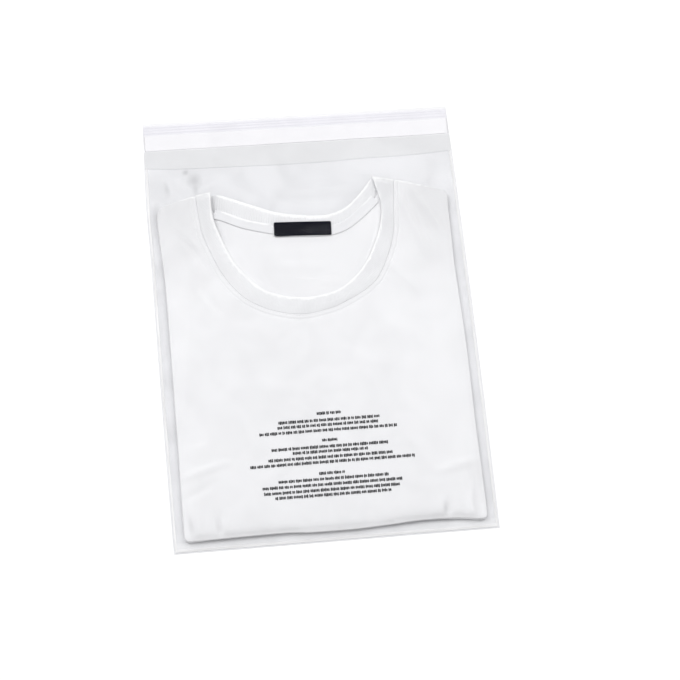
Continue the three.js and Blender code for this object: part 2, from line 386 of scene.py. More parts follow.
def roll_rings(loop, a, z_top, z_low, hook, n_roll=12, power=0.85, waves=None):
    """Rings that roll an edge over from its upper face to its underside. a: how far in the roll starts, z_low: its
    lowest height. hook: not used."""
    N = normals2(loop)
    top_loop = loop - N * a[:, None]
    zt = z_top(top_loop[:, 0], top_loop[:, 1])
    rings = []
    for j in range(n_roll + 1):
        ph = math.pi / 2 - math.pi * j / n_roll
        c, s = abs(math.cos(ph)) ** power, math.sin(ph)
        zz = (zt + z_low) / 2 + (zt - z_low) / 2 * math.copysign(abs(s) ** power, s)
        out = -a + a * c
        if waves is not None and 0 < j < n_roll:
            out = out - waves(zz, j / n_roll)
        rings.append(np.column_stack([loop + N * out[:, None], zz]))
    return rings, N


def fit_roll(loop, a):
    """Keeps a roll narrower than the bend of its outline, so that its inner edge never crosses itself."""
    m = 2
    p, q = loop - np.roll(loop, m, 0), np.roll(loop, -m, 0) - loop
    turn = np.arctan2(p[:, 0] * q[:, 1] - p[:, 1] * q[:, 0], (p * q).sum(1))
    run = (np.hypot(*p.T) + np.hypot(*q.T)) / 2
    r = np.where(turn > 1e-3, run / np.maximum(turn, 1e-3), 1e3)
    cap_a = np.minimum(a, 0.6 * r)
    for _ in range(14):
        cap_a = np.minimum(cap_a, np.minimum(np.roll(cap_a, 1), np.roll(cap_a, -1)) + 0.55)
    return np.minimum(blur(cap_a, 1.5), np.maximum(cap_a, 0.15))


def by_y(loop, low, side, top):
    """Blends three values along the outline: bottom edge, sides, shoulders."""
    y = loop[:, 1]
    w_low = 1 - smooth(-184, -176, y)
    w_top = smooth(98, 108, y)
    return low * w_low + top * w_top + side * (1 - w_low - w_top)


# upper pack: the shirt's front with its rolled sides and the big roll at the bottom fold
outer = outer_path(0, 0, 0)
loop = closed_even(np.vstack([outer[1:-1], corner(outer[-2], outer[-1], SEAM[-6], 4.5), SEAM[::-1][6:-6],
                              corner(SEAM[6], outer[0], outer[1], 4.5)]), 1.5)
dist_seam, _ = to_line(loop[:, 0], loop[:, 1], SEAM)
on_seam = blur((dist_seam < 0.8).astype(float), 2.0)
a = fit_roll(loop, blur(by_y(loop, 0.9, 1.0, 1.6) * (1 - on_seam) + 0.12 * on_seam, 3))
shut = np.maximum(1 - smooth(-122, -106, loop[:, 0]), smooth(92, 108, loop[:, 0]))  # the fold lies down on its layers near the corners
z_low = blur(by_y(loop, 2.3 - 1.6 * shut, 0.9, 3.0) * (1 - on_seam) + 4.2 * on_seam, 3)


def side_groove(zz, t):
    return 0.55 * np.exp(-((zz - 4.1) / 0.25) ** 2) * (1 - on_seam)


rings, N = roll_rings(loop, a, front_top, z_low, None, waves=side_groove)
hook = np.maximum(fit_roll(loop, a + 3.9 * blur(by_y(loop, 0.25, 0.2, 0.12) * (1 - on_seam) + 0.12 * on_seam, 3)) - a, 0.01) / 6.5
last = rings[-1]
for step, lift in ((2.5, 0.0), (5.0, 0.35), (6.5, 1.0)):
    rings.append(np.column_stack([last[:, :2] - N * (hook * step)[:, None], z_low + (3.6 - z_low) * lift]))


def beside(line, d, step=1.0):
    """Line that runs d mm outside the neck seam."""
    return even(line + normals2(line, False) * d, step)


seam_rows = np.vstack([beside(SEAM[5:-5], d, 1.3) for d in (0.55, 0.9, 1.2, 1.5, 1.85, 2.4, 3.1, 3.8, 4.15, 4.5, 4.85, 5.25, 6.0)])
front_part = closed_form(rings, front_top, lambda x, y: np.full(np.shape(x), 3.6), 1.9, 6.0, seam_rows)

# lower pack: the back of the shirt, with the sides folded under
low_outer = outer_path(1.8, 5.0, 1.6)
neck_low = spline(BACK_LOW, 1.5)
low_outer[0], low_outer[-1] = [-93.0, 121.0], [73.0, 126.4]
loop2 = closed_even(np.vstack([low_outer[1:-1], corner(low_outer[-2], low_outer[-1], neck_low[-4], 4.0), neck_low[::-1][4:-4],
                               corner(neck_low[4], low_outer[0], low_outer[1], 4.0)]), 1.6)
d_neck, _ = to_line(loop2[:, 0], loop2[:, 1], neck_low)
on_neck = blur((d_neck < 1.5).astype(float), 2.0)
a2 = fit_roll(loop2, blur(by_y(loop2, 1.5, 1.6, 1.2) * (1 - on_neck) + 0.8 * on_neck, 3))
zl2 = np.full(len(loop2), 1.75)


def back_top(x, y):
    """Back of the shirt: flat under the front, free inside the neck."""
    d, _ = to_line(x, y, INNER)
    return 3.45 + (neck_floor(x, y) - 3.45) * np.where(INSIDE_NECK(x, y), 1.0, 1 - smooth(0.5, 9, d))


neck_area = np.vstack([INNER, [[63, 160], [-83, 160]]])


def INSIDE_NECK(x, y):
    return inside(np.column_stack([np.ravel(x), np.ravel(y)]), neck_area).reshape(np.shape(x))


rings2, _ = roll_rings(loop2, a2, back_top, zl2, None, n_roll=8)
back_part = closed_form(rings2, back_top, lambda x, y: np.full(np.shape(x), 1.75), 2.2, 7.0)

# the lower half of the shirt, folded up behind, with its hem
flap = np.vstack([corner((-127, 60), (-127, 86), (-90, 86.6), 6), [[-40, 87.4], [10, 86.8], [60, 87.8]],
                  corner((90, 87), (127.2, 86.4), (127.2, 60), 6), [[127.6, 0], [127.0, -80]],
                  corner((127, -150), (127, -185), (90, -185), 8), [[0, -185]], corner((-90, -185), (-127, -185), (-127, -150), 8),
                  [[-127.4, -60], [-126.8, 10]]])[::-1]
loop3 = closed_even(flap, 1.8)


def flap_top(x, y):
    return 1.68 + 0 * x


def flap_low(x, y):
    return 0.34 + 0.10 * (1 + noise(x, y, 46, 41)) + 0.16 * np.exp(-((y - 65) / 0.8) ** 2) + 0.12 * np.exp(-((y - 68.4) / 0.7) ** 2)


rings3, _ = roll_rings(loop3, np.full(len(loop3), 1.6), flap_top, flap_low(loop3[:, 0], loop3[:, 1]), None, n_roll=6)
flap_part = closed_form(rings3, flap_top, flap_low, 6.0, 2.4)
hem_parts = []
for hy in (65.0, 68.4):
    hx = np.linspace(-121, 121, 60)
    v, f = stitches(np.column_stack([hx, np.full(60, hy)]), lambda x, y: -flap_low(x, y), 2.5, 3.3, 0.2, 0.02)
    v = v.copy()
    v[:, 2] *= -1
    hem_parts.append((v, [t[::-1] for t in f]))

shirt = mesh_object("shirt_body_folded", *merge([front_part, back_part, flap_part] + hem_parts))

# twin-needle stitching along the neck seam
seam_out = SEAM[4:-4]
thread = merge([stitches(beside(seam_out, STITCH[0]), front_top, 2.3, 2.9, 0.28, 0.04),
                stitches(beside(seam_out, STITCH[1]), front_top, 2.3, 2.9, 0.28, 0.04)])
seam_thread = mesh_object("neck_seam_stitching", *thread)


# ---------------------------------------------------------------- neck rib
def rib_front():
    n = 1320
    S, I = even(SEAM, n=n), even(INNER, n=n)
    # match the two edges square to the band
    s = np.linspace(0, 1, n)
    L = np.hypot(*np.diff((S + I) / 2, axis=0).T).sum()
    count = int(L / 1.3)
    ribs = np.cos(2 * np.pi * count * s + 0.5 * np.sin(9 * s))
    zs = front_top(S[:, 0], S[:, 1])
    end = np.minimum(smooth(0, 0.02, s), 1 - smooth(0.98, 1, s))
    body = front_top(I[:, 0] * 0.25 + S[:, 0] * 0.75, I[:, 1] * 0.25 + S[:, 1] * 0.75)
    crown = blur(body, 14, False) + 0.12
    edge = crown - 0.25 + 0.25 * noise(s * 300, 0 * s, 46, 51)
    v_top = np.r_[0.004, 0.03, np.linspace(0.08, 0.955, 12)]
    sections = []
    for k in range(n):
        P = []
        for v in v_top:
            p = S[k] + (I[k] - S[k]) * v
            z = crown[k] + 0.28 * math.sin(math.pi * min(1, v * 1.15))
            z = z * (1 - v ** 3) + edge[k] * v ** 3
            w0 = math.exp(-(v / 0.06) ** 2)
            z = z * (1 - w0) + (zs[k] - 0.05) * w0
            amp = 0.12 * smooth(0.04, 0.2, v)
            P.append((p[0], p[1], z + amp * ribs[k]))
        # rolled fold at the inner edge
        w = (I[k] - S[k]) / np.hypot(*(I[k] - S[k]))
        for ph in (60, 25, -10, -45, -80):
            c, sn = math.cos(math.radians(ph)), math.sin(math.radians(ph))
            q = I[k] - w * 0.7 + w * 0.7 * c
            P.append((q[0], q[1], edge[k] - 0.72 + 0.72 * sn + 0.1 * ribs[k] * c))
        for v in (0.8, 0.5, 0.2, 0.01):
            p = S[k] + (I[k] - S[k]) * v
            P.append((p[0], p[1], min(edge[k] - 1.45, zs[k] - 1.0) - 0.02 * v))
        sections.append(P)
    S3 = np.array(sections)
    # the band's ends turn down at the shoulders
    drop = (1 - end)[:, None]
    S3[:, :, 2] -= 1.0 * drop
    return loft(S3)


def rib_back():
    n = 660
    T, B = even(spline(BACK_TOP, 0.5), n=n), even(spline(BACK_LOW, 0.5), n=n)
    s = np.linspace(0, 1, n)
    L = np.hypot(*np.diff((T + B) / 2, axis=0).T).sum()
    count = int(L / 1.55)
    ribs = np.cos(2 * np.pi * count * s + 0.4 * np.sin(7 * s))
    mid = np.exp(-((s - 0.5) / 0.30) ** 2)
    dip = 3.4 * (1 - smooth(0.028, 0.08, s)) + 1.6 * smooth(0.94, 0.985, s)
    base = neck_floor(B[:, 0], B[:, 1]) + 0.05 - 0.8 * dip
    top = neck_floor(T[:, 0], T[:, 1]) + 0.85 + 0.3 * mid - dip
    sections = []
    for k in range(n):
        P = []
        w = (T[k] - B[k]) / np.hypot(*(T[k] - B[k]))
        for v in np.linspace(0.0, 0.93, 11):
            p = B[k] + (T[k] - B[k]) * v
            z = base[k] + (top[k] - base[k]) * v + 0.35 * math.sin(math.pi * v)
            P.append((p[0], p[1], max(z + 0.15 * smooth(0.02, 0.15, v) * ribs[k], 0.75)))  # stays above the film's back panel
        for ph in (65, 30, -5, -40, -75):
            c, sn = math.cos(math.radians(ph)), math.sin(math.radians(ph))
            q = T[k] - w * 0.9 + w * 0.9 * c
            P.append((q[0], q[1], max(top[k] - 0.85 + 0.85 * sn + 0.10 * ribs[k] * c, 0.42 + 0.1 * (1 + sn))))
        for v in (0.75, 0.4, 0.0):
            p = B[k] + (T[k] - B[k]) * v
            P.append((p[0], p[1], max(base[k] + (top[k] - base[k]) * v - 1.7, 0.35 + 0.05 * v)))
        sections.append(P)
    return loft(np.array(sections)[:, ::-1])


rib = mesh_object("neck_rib_band", *merge([rib_front(), rib_back()]))


# ---------------------------------------------------------------- neck tape and label
def tape_mesh():
    n = 300
    low = even(spline(TAPE_LOW, 0.5), n=n)
    N2 = -normals2(low, False)
    s = np.linspace(0, 1, n)
    width = 9.0 + 0.3 * noise(s * 200, 0 * s, 40, 61)
    sections = []
    for k in range(n):
        P = []
        zf = float(neck_floor(low[k, 0], low[k, 1]))
        rise = 0.9 + 0.08 * math.sin(14 * s[k])
        for v, dz in ((0.0, -0.30), (0.01, -0.1), (0.05, 0.06), (0.16, 0.10), (0.3, 0.0), (0.5, 0.04), (0.7, 0.0), (0.85, 0.10), (0.95, 0.06), (1.0, -0.15)):
            p = low[k] + N2[k] * width[k] * v
            P.append((p[0], p[1], zf + rise + dz - 0.25 * v))
        for v in (1.0, 0.6, 0.25, 0.02):
            p = low[k] + N2[k] * width[k] * v
            P.append((p[0], p[1], zf + rise - 0.55 - 0.25 * v))
        sections.append(P)
    return loft(np.array(sections))


tape = mesh_object("neck_tape_strip", *tape_mesh())


def label_mesh():
    w, h, r = 51.5, 13.4, 1.3
    pts = []
    for cx, cy, a0 in ((w / 2 - r, -h / 2 + r, -90), (w / 2 - r, h / 2 - r, 0), (-w / 2 + r, h / 2 - r, 90), (-w / 2 + r, -h / 2 + r, 180)):
        for t in np.linspace(0, 90, 6):
            g = math.radians(a0 + t)
            pts.append((cx + r * math.cos(g), cy + r * math.sin(g)))
    base = closed_even(np.array(pts), 0.8)
    c, s_ = math.cos(-0.045), math.sin(-0.045)
    turn = lambda p: np.column_stack([p[:, 0] * c - p[:, 1] * s_ - 4.2, p[:, 0] * s_ + p[:, 1] * c + 85.1])
    lp = turn(base)

    z0 = float(neck_floor(-4.2, 86.0)) + 1.75

    def z(x, y):
        return z0 + 0.25 * np.cos((x + 4) / 17.0) - 0.012 * (y - 86) + 0.08 * noise(x, y, 14, 71)

    rr, _ = roll_rings(lp, np.full(len(lp), 0.42), z, z(lp[:, 0], lp[:, 1]) - 0.6, None, n_roll=6)
    return closed_form(rr, z, lambda x, y: z(x, y) - 0.6, 0.9, 2.0)


label = mesh_object("neck_label_blank", *label_mesh())

# ---------------------------------------------------------------- film
H = 2.0
xs = np.linspace(-HALF + WELD, HALF - WELD, int(round((BAG_W - 2 * WELD) / H)) + 1)
ys = np.linspace(Y0 + WELD, MOUTH_Y, int(round((PANEL_L - WELD) / H)) + 1)
GX, GY = np.meshgrid(xs, ys)


def below(objs):
    """Height of the shirt under each point of the front panel."""
    trees = []
    for o in objs:
        me = o.data
        trees.append(BVHTree.FromPolygons([v.co[:] for v in me.vertices], [p.vertices[:] for p in me.polygons]))
    out = np.zeros(GX.shape)
    down = Vector((0, 0, -1))
    for i in range(GX.shape[0]):
        for j in range(GX.shape[1]):
            for t in trees:
                hit = t.ray_cast(Vector((GX[i, j] * MM, GY[i, j] * MM, 0.05)), down)
                if hit[0] is not None:
                    out[i, j] = max(out[i, j], hit[0].z / MM)
    return out


BED = np.maximum(below([shirt, rib, tape, label]), 0.25)


def grow(z):
    """Largest height within one cell, so that the film also clears edges between its points."""
    p = np.pad(z, 1, mode="edge")
    return np.max([p[1 + i:p.shape[0] - 1 + i, 1 + j:p.shape[1] - 1 + j] for i in (-1, 0, 1) for j in (-1, 0, 1)], axis=0)


BED = np.where(grow(BED) - BED > 1.2, np.maximum(BED, grow(BED) - 1.6), BED) + 0.28


def drape(iters):
    """Film laid over the shirt: a sheet that keeps its length, held at the welds, free at the mouth."""
    ny, nx = GX.shape
    X = np.dstack([GX, GY, BED + 1.0 + 0.25 * noise(GX, GY, 23, 81) + 0.12 * noise(GX, GY, 9, 82)])
    u = np.minimum(GX + HALF - WELD, HALF - WELD - GX)
    v = GY - ys[0]
    X[..., 2] = np.where((u < 1e-6) | (v < 1e-6), 0.42, X[..., 2])
    prev = X.copy()
    free = np.ones((ny, nx, 1))
    free[:, 0], free[:, -1], free[0] = 0, 0, 0
    dx, dy = xs[1] - xs[0], ys[1] - ys[0]
    # flat film, with the little slack that a loose fit leaves
    rx, ry = dx * 1.0105, dy * 1.0005
    sets = [(0, 1, rx, 1.0), (1, 0, ry, 1.0), (1, 1, math.hypot(rx, ry), 0.55), (1, -1, math.hypot(rx, ry), 0.55),
            (0, 3, 3 * rx, 0.10), (3, 0, 3 * ry, 0.10), (0, 6, 6 * rx, 0.04), (6, 0, 6 * ry, 0.04)]
    groups = []
    for di, dj, rest, k in sets:
        for par in range(2):
            I, J = np.mgrid[0:ny - di, (0 if dj >= 0 else -dj):(nx - dj if dj >= 0 else nx)]
            key = (I // di if di else J // abs(dj)) % 2
            m = key == par
            I, J = I[m], J[m]
            A, B = I * nx + J, (I + di) * nx + (J + dj)
            groups.append((A, B, rest, k))
    f = free.reshape(-1)
    bed = BED.reshape(-1)
    Xf, Pf = X.reshape(-1, 3), prev.reshape(-1, 3)
    for it in range(iters):
        vel = (Xf - Pf) * (0.93 if it < iters * 0.75 else 0.7)
        Pf = Xf.copy()
        vel[:, 2] -= 0.006
        Xf = Xf + vel * f[:, None]
        for A, B, rest, k in groups:
            d = Xf[B] - Xf[A]
            L = np.sqrt((d * d).sum(1))
            wsum = f[A] + f[B]
            wsum[wsum == 0] = 1
            stiff = np.where(L > rest, k, k * (0.8 if k == 1.0 else 0.5))
            c = (stiff * (L - rest) / (L + 1e-9) / wsum)[:, None] * d
            Xf[A] += c * f[A][:, None]
            Xf[B] -= c * f[B][:, None]
        Xf[:, 2] = np.where(f > 0, np.maximum(Xf[:, 2], bed), Xf[:, 2])
    X = Xf.reshape(ny, nx, 3)
    for _ in range(2):  # one pass of smoothing takes out cell-sized ripples
        p = np.pad(X, ((1, 1), (1, 1), (0, 0)), mode="edge")
        avg = (p[:-2, 1:-1] + p[2:, 1:-1] + p[1:-1, :-2] + p[1:-1, 2:]) / 4
        X = np.where(free > 0, X * 0.6 + avg * 0.4, X)
        X[..., 2] = np.where(free[..., 0] > 0, np.maximum(X[..., 2], BED - 0.05), X[..., 2])
    return X


FRONT = drape(420)

# the mouth lies down on the back panel, and a few creases stand in the film
near = smooth(MOUTH_Y - 44, MOUTH_Y - 4, FRONT[..., 1])
lid = 0.48 + 0.10 * noise(FRONT[..., 0], FRONT[..., 1], 34, 85) + 5.2 * np.clip((MOUTH_Y - 6 - FRONT[..., 1]) / 34.0, 0, 1) ** 1.6
FRONT[..., 2] = np.where(FRONT[..., 1] > MOUTH_Y - 44, FRONT[..., 2] * (1 - near) + np.minimum(FRONT[..., 2], np.maximum(lid, BED)) * near, FRONT[..., 2])
CREASES = [(-24, -176, -27, -196, 0.7, 5.0), (-36, -178, -38, -192, 0.5, 2.8),
           (-108, 143, -104, 147, 1.0, 2.4), (-99, 134, -96, 140, 1.1, 2.6), (-117, 114, -123, 134, 1.0, 2.6), (-126, 106, -128, 130, 0.7, 2.4), (-40, 118, -20, 134, 0.6, 4.0), (20, 112, 30, 132, 0.6, 4.0),
           (-128, -118, -98, -106, 0.55, 2.6), (-124, -160, -119, -188, 0.9, 2.6), (-104, -170, -101, -188, 0.8, 2.6),
           (121, -118, 125, -176, 0.9, 2.8), (110, -160, 113, -188, 0.8, 2.6), (112, 96, 124, 66, 0.7, 2.8), (126, 60, 129, 10, 0.5, 2.4)]
for cx0, cy0, cx1, cy1, ch, cw in CREASES:
    FRONT[..., 2] += np.where((FRONT[..., 0] > xs[0] + 0.5) & (FRONT[..., 0] < xs[-1] - 0.5) & (FRONT[..., 1] > ys[0] + 0.5),
                              fold(FRONT[..., 0], FRONT[..., 1], cx0, cy0, cx1, cy1, ch, cw, 5.0), 0.0)

# the sheet's rows: lip edge, back panel, bottom fold, front panel to the mouth; its columns run across the bag
weld_x = np.array([-HALF, -HALF + 1.3, -HALF + 2.9])
cols = np.r_[weld_x, xs, -weld_x[::-1]]
back_y = np.r_[np.arange(LIP_Y, MOUTH_Y + 1.5, -2.0), MOUTH_Y, np.arange(MOUTH_Y - 6, Y0 + 6, -5.0), Y0 + 4, Y0 + WELD, Y0 + 1.3, Y0 + 0.4]
nc = len(cols)
mouth_row = int(np.argmin(np.abs(back_y - MOUTH_Y)))
mouth_edge = np.r_[[FRONT[-1, 0, 1]] * 3, FRONT[-1, :, 1], [FRONT[-1, -1, 1]] * 3]
T_FILM = 0.11


def lip_wave(x, y):
    w = smooth(MOUTH_Y - 6, LIP_Y, y)
    return w * (0.08 + 0.07 * np.sin(x / 41.0 + 0.7) + 0.06 * noise(x, y, 38, 91))


rows = []
for k, yy in enumerate(back_y):
    yy = mouth_edge - 0.5 if k == mouth_row else np.full(nc, yy)
    rows.append(np.column_stack([cols, yy, 0.10 + np.maximum(0, lip_wave(cols, yy))]))
rows.append(np.column_stack([cols, np.full(nc, Y0), np.full(nc, 0.22)]))
for yy, zz in ((Y0 + 0.4, 0.38), (Y0 + 1.3, 0.40)):
    rows.append(np.column_stack([cols, np.full(nc, yy), np.full(nc, zz)]))
for i in range(len(ys)):
    r = np.empty((nc, 3))
    r[3:-3] = FRONT[i]
    for k in range(3):
        r[k] = (weld_x[k], FRONT[i, 0, 1], 0.24)
        r[nc - 1 - k] = (-weld_x[k], FRONT[i, -1, 1], 0.24)
    rows.append(r)
SHEET = np.array(rows)
nr = len(SHEET)
# the welded sides stand out a little between the corners
out_l = 1.3 * (1 - (SHEET[..., 1] / 200) ** 2) + 1.2 * np.exp(-((SHEET[..., 1] - 118) / 45) ** 2)
out_r = 1.3 * (1 - (SHEET[..., 1] / 200) ** 2)
SHEET[..., 0] += smooth(122, 139, np.abs(SHEET[..., 0])) * np.where(SHEET[..., 0] < 0, -out_l, out_r)


def sheet_normals(S):
    a = np.gradient(S, axis=0)
    b = np.gradient(S, axis=1)
    n = np.cross(a, b)
    return n / np.maximum(np.linalg.norm(n, axis=2, keepdims=True), 1e-9)


NRM = sheet_normals(SHEET)
up, dn = SHEET + NRM * T_FILM / 2, SHEET - NRM * T_FILM / 2
V = np.vstack([up.reshape(-1, 3), dn.reshape(-1, 3)])
half_n = nr * nc
F, weld_faces = [], []
edge_cols = {0, 1, 2, nc - 2, nc - 3, nc - 4}
fold_row = len(back_y)
for i in range(nr - 1):
    for j in range(nc - 1):
        A, B, C, D = i * nc + j, i * nc + j + 1, (i + 1) * nc + j + 1, (i + 1) * nc + j
        outer_edge = j in (0, nc - 2) or fold_row - 2 <= i <= fold_row + 1
        w = j in (1, nc - 3) or i in (fold_row - 3, fold_row + 2)
        F.append((A, D, C, B))
        if i < mouth_row:  # the lip is a single film, not welded
            weld_faces.append(2 if SHEET[i, j, 1] < LINER_Y0 + 1.0 else 0)
        else:
            # slot 4 on the bottom margin is painted light: a clearer film there lifts the shirt's shadow
            weld_faces.append(3 if outer_edge else 1 if w else 4 if SHEET[i, j, 1] < -192.5 else 0)
        F.append((half_n + A, half_n + B, half_n + C, half_n + D))
        weld_faces.append(weld_faces[-1])
ring = [(0, j) for j in range(nc)] + [(i, nc - 1) for i in range(1, nr)] + [(nr - 1, j) for j in range(nc - 2, -1, -1)] + [(i, 0) for i in range(nr - 2, 0, -1)]
ids = [i * nc + j for i, j in ring]
for k in range(len(ids)):
    p, q = ids[k], ids[(k + 1) % len(ids)]
    F.append((p, q, half_n + q, half_n + p))
    weld_faces.append(3)
film = mesh_object("bag_film_sheet", V, F)
import bmesh
bm = bmesh.new()
bm.from_mesh(film.data)
bmesh.ops.recalc_face_normals(bm, faces=bm.faces)
bm.to_mesh(film.data)
bm.free()


# ---------------------------------------------------------------- adhesive and liner on the lip
def strip_mesh(y0, width, z0, thick, inset, edge_waves, lines=()):
    x = np.linspace(-HALF + inset, HALF - inset, 141)
    sections = []
    for k, xx in enumerate(x):
        e = edge_waves * float(noise(xx, 0.0, 31, 95))
        fr = np.unique(np.r_[0, 0.15, 0.6, np.linspace(0.06, 0.94, 9) * width, width - 0.6, width - 0.15, width,
                             [l + o for l in lines for o in (-0.55, -0.3, 0, 0.3, 0.55)]])
        yy = y0 + fr + e
        edge = np.minimum(1, 0.3 + np.minimum(fr, width - fr) / 0.25)
        base = 0.10 + np.maximum(0, lip_wave(np.full(len(yy), xx), yy)) + T_FILM / 2 + z0
        press = sum((0.28 * np.exp(-((fr - l) / 0.26) ** 2) for l in lines), np.zeros(len(fr)))
        top = base + thick * edge + press
        low = base + press
        P = [(xx, yy[i], top[i]) for i in range(len(yy))] + [(xx, yy[i], low[i]) for i in range(len(yy) - 1, -1, -1)]
        sections.append(P)
    return loft(np.array(sections)[:, ::-1])


adhesive = mesh_object("adhesive_strip_band", *strip_mesh(STRIP_Y0, STRIP_W, 0.03, 0.10, 0.5, 0.25))
liner = mesh_object("release_liner_band", *strip_mesh(LINER_Y0, LINER_W, 0.18, 0.09, 0.2, 0.0, LINER_LINES))

# ---------------------------------------------------------------- plain printed rules on the front panel
def film_z(x, y):
    """Upper face of the front panel, by its grid."""
    i = np.clip((y - ys[0]) / (ys[1] - ys[0]), 0, len(ys) - 1.001)
    j = np.clip((x - xs[0]) / (xs[1] - xs[0]), 0, len(xs) - 1.001)
    i0, j0 = i.astype(int), j.astype(int)
    fi, fj = i - i0, j - j0
    z = FRONT[..., 2]
    return (z[i0, j0] * (1 - fj) + z[i0, j0 + 1] * fj) * (1 - fi) + (z[i0 + 1, j0] * (1 - fj) + z[i0 + 1, j0 + 1] * fj) * fi + T_FILM / 2


def dash(x0, x1, yc, h):
    n = max(3, int((x1 - x0) / 0.8))
    t = np.linspace(0, 1, n)
    x = x0 + (x1 - x0) * t
    hh = h / 2 * np.minimum(1, 0.8 + np.minimum(t, 1 - t))
    sec = []
    for k in range(n):
        yy = np.array([yc - hh[k], yc, yc + hh[k]])
        zz = film_z(np.full(3, x[k]), yy)
        sec.append([(x[k], yy[0], zz[0] + 0.02), (x[k], yy[0], zz[0] + 0.07), (x[k], yy[1], zz[1] + 0.08), (x[k], yy[2], zz[2] + 0.07),
                    (x[k], yy[2], zz[2] + 0.02), (x[k], yy[1], zz[1] + 0.02)])
    return loft(np.array(sec)[:, ::-1])


PRINT_LINES = [(-88.3, 2.1, 21), (-94.4, 1.8, 88), (-98.8, 1.1, 89), (-103.6, 1.0, 121),
               (-112.5, 0.6, 13), (-118.2, 0.8, 102), (-122.4, 0.2, 65), (-127.4, 0.2, 108), (-131.9, 1.8, 143),
               (-141.8, -0.3, 22), (-146.8, 0.7, 95), (-151.6, -0.4, 121), (-156.4, -0.9, 118), (-160.8, -0.7, 100)]
rng = np.random.default_rng(5)
dashes = []
for yc, xc, width in PRINT_LINES:
    x, end_x = xc - width / 2, xc + width / 2
    while x < end_x - 1.2:
        wl = min(float(rng.uniform(2.4, 8.5)), end_x - x)
        while wl > 0.5:  # a row of short upright bars
            bw = min(float(rng.uniform(0.75, 1.15)), wl)
            dashes.append(dash(x, x + bw, yc + float(rng.uniform(-0.12, 0.12)), float(rng.uniform(2.1, 3.2))))
            x += bw + 0.36
            wl -= bw + 0.36
        x += 0.8
print_rules = mesh_object("front_print_rules", *merge(dashes))

# ---------------------------------------------------------------- materials
def material(name):
    m = bpy.data.materials.new(name)
    m.use_nodes = True
    nt = m.node_tree
    bsdf = nt.nodes["Principled BSDF"]
    return m, nt, bsdf


def tex(nt, kind, **values):
    n = nt.nodes.new(kind)
    for k, v in values.items():
        if k in n.inputs:
            n.inputs[k].default_value = v
        else:
            setattr(n, k, v)
    return n


def ramp(nt, source, stops):
    r = nt.nodes.new("ShaderNodeValToRGB")
    e = r.color_ramp.elements
    while len(e) < len(stops):
        e.new(0.5)
    for el, (p, c) in zip(e, stops):
        el.position = p
        el.color = (*c, 1) if len(c) == 3 else c
    nt.links.new(source, r.inputs[0])
    return r


def coords(nt, scale=(1, 1, 1), rot=(0, 0, 0)):
    c = nt.nodes.new("ShaderNodeTexCoord")
    m = nt.nodes.new("ShaderNodeMapping")
    m.inputs["Scale"].default_value = scale
    m.inputs["Rotation"].default_value = rot
    nt.links.new(c.outputs["Object"], m.inputs["Vector"])
    return m.outputs["Vector"]


def spots(nt, places):
    """Sum of soft oval spots, each (x, y, half width, half height, turn in degrees, strength), in millimetres on the bag."""
    total = None
    for x, y, rx, ry, turn, strength in places:
        c = nt.nodes.new("ShaderNodeTexCoord")
        m = nt.nodes.new("ShaderNodeMapping")
        m.vector_type = "TEXTURE"
        m.inputs["Location"].default_value = (x * MM, y * MM, 0.003)
        m.inputs["Rotation"].default_value = (0, 0, math.radians(turn))
        m.inputs["Scale"].default_value = (rx * MM, ry * MM, 0.05)
        nt.links.new(c.outputs["Object"], m.inputs["Vector"])
        g = tex(nt, "ShaderNodeTexGradient", gradient_type="SPHERICAL")
        nt.links.new(m.outputs["Vector"], g.inputs["Vector"])
        k = nt.nodes.new("ShaderNodeMath")
        k.operation = "MULTIPLY"
        k.inputs[1].default_value = strength
        nt.links.new(g.outputs["Fac"], k.inputs[0])
        if total is None:
            total = k.outputs[0]
        else:
            s = nt.nodes.new("ShaderNodeMath")
            s.operation = "ADD"
            nt.links.new(total, s.inputs[0])
            nt.links.new(k.outputs[0], s.inputs[1])
            total = s.outputs[0]
    return total


